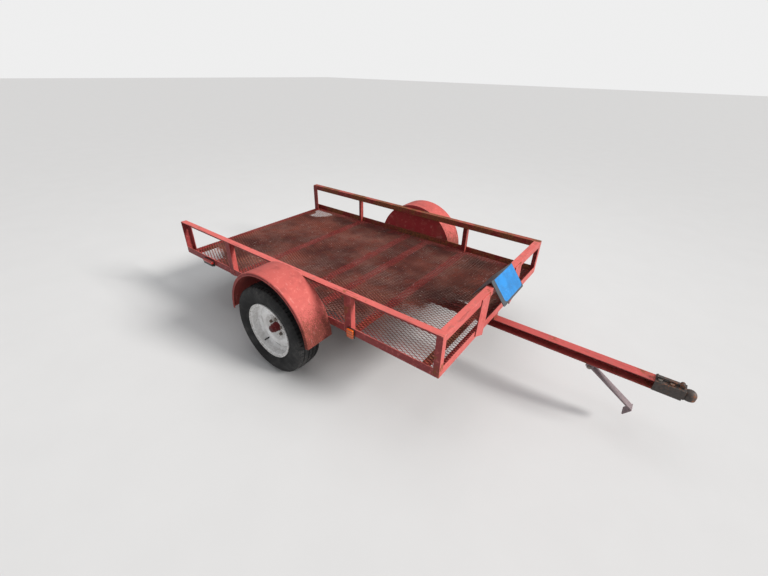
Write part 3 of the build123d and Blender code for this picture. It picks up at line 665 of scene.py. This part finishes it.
for side, _ in SIDES:
    tyre(side)


# --------------------------------------------------------- fender rolled edges
def fender_edge(side, way):
    low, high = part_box("fender_" + side)
    radius = (high.x - low.x) / 2
    centre = Vector(((low.x + high.x) / 2, 0, high.z - radius))
    edge_y = high.y if way > 0 else low.y
    start = math.asin(max(-1.0, min(1.0, (low.z - centre.z) / radius)))
    bead = 0.0032
    frames = []
    for i in range(97):
        t = start + (math.pi - 2 * start) * i / 96
        out = Vector((math.cos(t), 0, math.sin(t)))
        frames.append((Vector((centre.x, edge_y - way * bead * 0.2, centre.z)) + out * (
            radius - 0.0205), out, Vector((0, 1, 0))))
    v, f = swept(ring(bead, 12), frames)
    piece("fender_rolled_edge_" + side, v, f, "chassis", "frame_red", fender_red[side],
          smooth=60)


for side, way in SIDES:
    fender_edge(side, way)


# ----------------------------------------------------------------------- lamps
def rounded_block(low, high, radius, steps=3):
    bm = bmesh.new()
    bmesh.ops.create_cube(bm, size=1.0)
    size, mid = high - low, (low + high) / 2
    for v in bm.verts:
        v.co = Vector(v.co[i] * size[i] + mid[i] for i in range(3))
    bmesh.ops.bevel(bm, geom=bm.edges[:], offset=radius, segments=steps, affect="EDGES",
                    profile=0.5, clamp_overlap=True)
    bm.verts.index_update()
    vertices = [v.co.copy() for v in bm.verts]
    faces = [tuple(v.index for v in f.verts) for f in bm.faces]
    bm.free()
    return vertices, faces


def join(groups):
    """Several (vertices, faces, material index) as one list, for one piece."""
    vertices, faces, which = [], [], []
    for v, f, index in groups:
        faces += [tuple(k + len(vertices) for k in face) for face in f]
        which += [index] * len(f)
        vertices += v
    return vertices, faces, which


def lamp(name, node, side, base_part, lens_material, split=None):
    low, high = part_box(node)
    depth = 0.020 if split is None else 0.028
    y0 = -high.y if side < 0 else high.y - depth
    box_low, box_high = Vector((low.x, y0, low.z)), Vector((high.x, y0 + depth, high.z))
    wall = box_high.y if side < 0 else box_low.y
    out = -1 if side < 0 else 1
    base_face = wall + out * depth * base_part
    base = rounded_block(Vector((low.x, min(wall, base_face), low.z)),
                         Vector((high.x, max(wall, base_face), high.z)), 0.002)
    lip = 0.003
    z_low = low.z + lip if split is None else low.z + (high.z - low.z) * split
    tip = wall + out * depth
    cover = rounded_block(Vector((low.x + lip, min(base_face - out * 0.003, tip), z_low)),
                          Vector((high.x - lip, max(base_face - out * 0.003, tip),
                                  high.z - lip)), 0.0045, 4)
    groups = [(*base, 0), (*cover, 1)]
    if split is not None:
        hood = rounded_block(
            Vector((low.x + lip, min(base_face - out * 0.003, tip - out * 0.004), low.z + lip)),
            Vector((high.x - lip, max(base_face - out * 0.003, tip - out * 0.004),
                    z_low - 0.001)), 0.003, 3)
        groups.append((*hood, 0))
    for end in (-1, 1):                  # cover screws
        x = (low.x + high.x) / 2 + end * ((high.x - low.x) / 2 - 0.011)
        z = (z_low + high.z) / 2
        frames = [(Vector((x, tip + out * d, z)), Vector((s, 0, 0)), Vector((0, 0, s)))
                  for d, s in ((-0.003, 1), (-0.0006, 1), (-0.0001, 0.7))]
        groups.append((*swept(ring(0.0028, 12), frames), 2))
    v, f, which = join(groups)
    obj = piece(name, v, f, "chassis", "amber_lens" if split is None else "red_lens",
                lamp_base, lens_material, bolt_steel, smooth=40)
    for polygon, index in zip(obj.data.polygons, which):
        polygon.material_index = index
    return obj


for side, way in SIDES:
    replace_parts(lamp("marker_lamp_" + side, "marker_lamps", way, 0.35, amber), "marker_lamps")
    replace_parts(lamp("tail_lamp_" + side, "tail_lamps", way, 0.30, lamp_red, 0.45),
                "tail_lamps")


# ---------------------------------------------------------------- number board
def number_board():
    """Blank fluted board folded over the front rail: dark leaves, blue front face."""
    low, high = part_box("number_board")
    thick, corner = 0.0040, 0.010
    front_angle, rear_angle, length = math.radians(52), math.radians(51), 0.170
    fold = Vector((low.x + length * math.cos(rear_angle) + thick / 2 * math.sin(rear_angle), 0,
                   high.z - thick / 2 / math.cos(front_angle)))
    width = high.y - low.y

    def outline(start, end, left, right, radius):
        """Along the leaf from the fold, and across; rounded at the free end."""
        points = [(start, left), (start, right)]
        for way in (1, -1):
            for k in range(7):
                t = math.pi / 2 * (k / 6 if way > 0 else 1 - k / 6)
                side = right - radius if way > 0 else left + radius
                points.append((end - radius + radius * math.sin(t),
                               side + way * radius * math.cos(t)))
        return points

    def slab(shape, along, out, near, far):
        places = [fold + along * a + Vector((0, low.y + b, 0)) for a, b in shape]
        n = len(places)
        faces = [tuple(range(n)), tuple(range(2 * n - 1, n - 1, -1))]
        faces += [(k, n + k, n + (k + 1) % n, (k + 1) % n) for k in range(n)]
        return [p + out * far for p in places] + [p + out * near for p in places], faces

    groups = []
    for angle, way in ((front_angle, 1), (rear_angle, -1)):
        along = Vector((way * math.cos(angle), 0, -math.sin(angle)))
        out = Vector((way * math.sin(angle), 0, math.cos(angle)))
        leaf = outline(0.0, length, 0.0, width, corner)
        groups.append((*slab(leaf, along, out, -thick / 2, thick / 2), 0))
        if way > 0:                       # the printed sheet, clear of the near edge and corner
            sheet = outline(0.002, length - 0.012, 0.040, width - 0.004, 0.024)
            groups.append((*slab(sheet, along, out, thick / 2 - 0.0002, thick / 2 + 0.0003), 1))
    crease = [(fold + Vector((0, y, 0)), Vector((1, 0, 0)), Vector((0, 0, 1)))
              for y in (low.y, high.y)]
    groups.append((*swept(ring(thick * 0.52, 14), crease), 0))
    v, f, which = join(groups)
    obj = piece("folded_board", v, f, "board", "board_blue", board_dark, board_blue, smooth=35)
    for polygon, index in zip(obj.data.polygons, which):
        polygon.material_index = index
    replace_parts(obj, "number_board")


number_board()


# ----------------------------------------------------------------- weld beads
def weld(start, end, lean, size=0.0032):
    """A short fillet weld: overlapping ripples along a straight corner."""
    start, end = Vector(start), Vector(end)
    along = (end - start).normalized()
    length = (end - start).length
    out = Vector(lean).normalized()
    side = along.cross(out).normalized()
    steps = max(6, round(length / 0.0022))
    frames = []
    for i in range(steps + 1):
        swell = 1.0 + 0.22 * math.sin(i * 2.1) + random.uniform(-0.12, 0.12)
        if i in (0, steps):
            swell *= 0.45
        at = start.lerp(end, i / steps) + side * random.uniform(-0.0003, 0.0003)
        frames.append((at, out * swell, side * swell))
    v, f = swept(ring(size, 8), frames)
    return v, f


def weld_group(name, seams, material):
    groups = [(*weld(*seam), 0) for seam in seams]
    v, f, _ = join(groups)
    piece(name, v, f, "chassis", "frame_red", material, smooth=60)


def frame_welds(side, way, material):
    seams = []
    deck_low, deck_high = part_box("side_rail_" + side)
    for post in ("rear_post_", "mid_post_rear_", "mid_post_front_", "corner_post_"):
        low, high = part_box(post + side)
        face = low.y if way < 0 else high.y
        inner = face - way * 0.005
        # under the top rail's flange, along the inner face of the post
        top = high.z
        seams.append(((low.x + 0.004, inner, top), (high.x - 0.004, inner, top),
                      (0, -way, -1)))
        # at the foot, outside, along the top edge of the side rail
        if "mid" in post:
            seams.append(((low.x, face, deck_low.z + 0.004), (low.x, face, deck_high.z - 0.004),
                          (-1, way * 0.3, 0)))
            seams.append(((high.x, face, deck_low.z + 0.004), (high.x, face,
                                                              deck_high.z - 0.004),
                          (1, way * 0.3, 0)))
    weld_group("weld_beads_" + side, seams, material)


for side, way in SIDES:
    frame_welds(side, way, red if side == "right" else red_far)


# --------------------------------------------------------------- stage, lights
FLOOR_REACH = 60.0
AMBIENT, BACKDROP = 0.50, 0.86        # strength of the sky, and how pale it looks
KEY_POWER, KEY_SOFT, KEY_AT = 3.9, 16, (4.4, 1.1, 2.6)
TOP_POWER, TOP_SIZE, TOP_AT, TOP_AIM = 60, 4.0, (-0.3, 0.4, 4.8), (-0.3, 0, 0.4)


def studio():
    mesh = bpy.data.meshes.new("studio_floor")
    r = FLOOR_REACH
    mesh.from_pydata([(-r, -r, 0), (r, -r, 0), (r, r, 0), (-r, r, 0)], [], [(0, 1, 2, 3)])
    floor = bpy.data.objects.new("studio_floor", mesh)
    bpy.context.scene.collection.objects.link(floor)
    s = Shade("studio_floor", 0.85)
    tone = s.blend((0.60, 0.60, 0.60), (0.63, 0.63, 0.63), s.noise(3.0, 3))
    dress(floor, s.finish(tone))

    world = bpy.data.worlds.new("studio")
    world.use_nodes = True
    back = world.node_tree.nodes["Background"]
    back.inputs[0].default_value = (0.97, 0.98, 1.0, 1.0)
    back.inputs[1].default_value = AMBIENT
    bpy.context.scene.world = world
    # what shows past the floor's edge is as pale as the floor
    tree = world.node_tree
    pale = tree.nodes.new("ShaderNodeBackground")
    pale.inputs[0].default_value = (BACKDROP, BACKDROP, BACKDROP, 1.0)
    seen = tree.nodes.new("ShaderNodeLightPath")
    either = tree.nodes.new("ShaderNodeMixShader")
    tree.links.new(seen.outputs["Is Camera Ray"], either.inputs[0])
    tree.links.new(back.outputs[0], either.inputs[1])
    tree.links.new(pale.outputs[0], either.inputs[2])
    tree.links.new(either.outputs[0], tree.nodes["World Output"].inputs[0])

    def aimed(obj, at, aim):
        bpy.context.scene.collection.objects.link(obj)
        obj.location = at
        obj.rotation_euler = (Vector(aim) - Vector(at)).to_track_quat("-Z", "Y").to_euler()

    # a soft low key from ahead, which also reaches the floor under the deck, and a panel overhead
    key = bpy.data.lights.new("key", "SUN")
    key.energy, key.angle, key.color = KEY_POWER, math.radians(KEY_SOFT), (1.0, 0.975, 0.945)
    aimed(bpy.data.objects.new("key", key), KEY_AT, (0, 0, 0))
    top = bpy.data.lights.new("top", "AREA")
    top.shape, top.size, top.energy = "SQUARE", TOP_SIZE, TOP_POWER
    aimed(bpy.data.objects.new("top", top), TOP_AT, TOP_AIM)


studio()


# ---------------------------------------------------------------------- camera
AZIMUTH, ELEVATION, ROLL, FOCAL = 36.42, 30.42, 1.35, 17.553
CAMERA_AT = (1.2876, -2.0935, 1.8106)


def camera():
    azimuth, elevation, roll = (math.radians(a) for a in (AZIMUTH, ELEVATION, ROLL))
    back = Vector((math.sin(azimuth) * math.cos(elevation),
                   -math.cos(azimuth) * math.cos(elevation), math.sin(elevation)))
    right = Vector((math.cos(azimuth), math.sin(azimuth), 0))
    up = back.cross(right)
    turned = right * math.cos(roll) + up * math.sin(roll)
    rise = up * math.cos(roll) - right * math.sin(roll)
    data = bpy.data.cameras.new("camera")
    data.sensor_width, data.lens = 36.0, FOCAL
    data.clip_start, data.clip_end = 0.05, 200.0
    obj = bpy.data.objects.new("camera", data)
    bpy.context.scene.collection.objects.link(obj)
    obj.matrix_world = Matrix.Translation(CAMERA_AT) @ Matrix(
        (turned, rise, back)).transposed().to_4x4()
    bpy.context.scene.camera = obj


camera()
bpy.context.scene.view_settings.view_transform = "Standard"
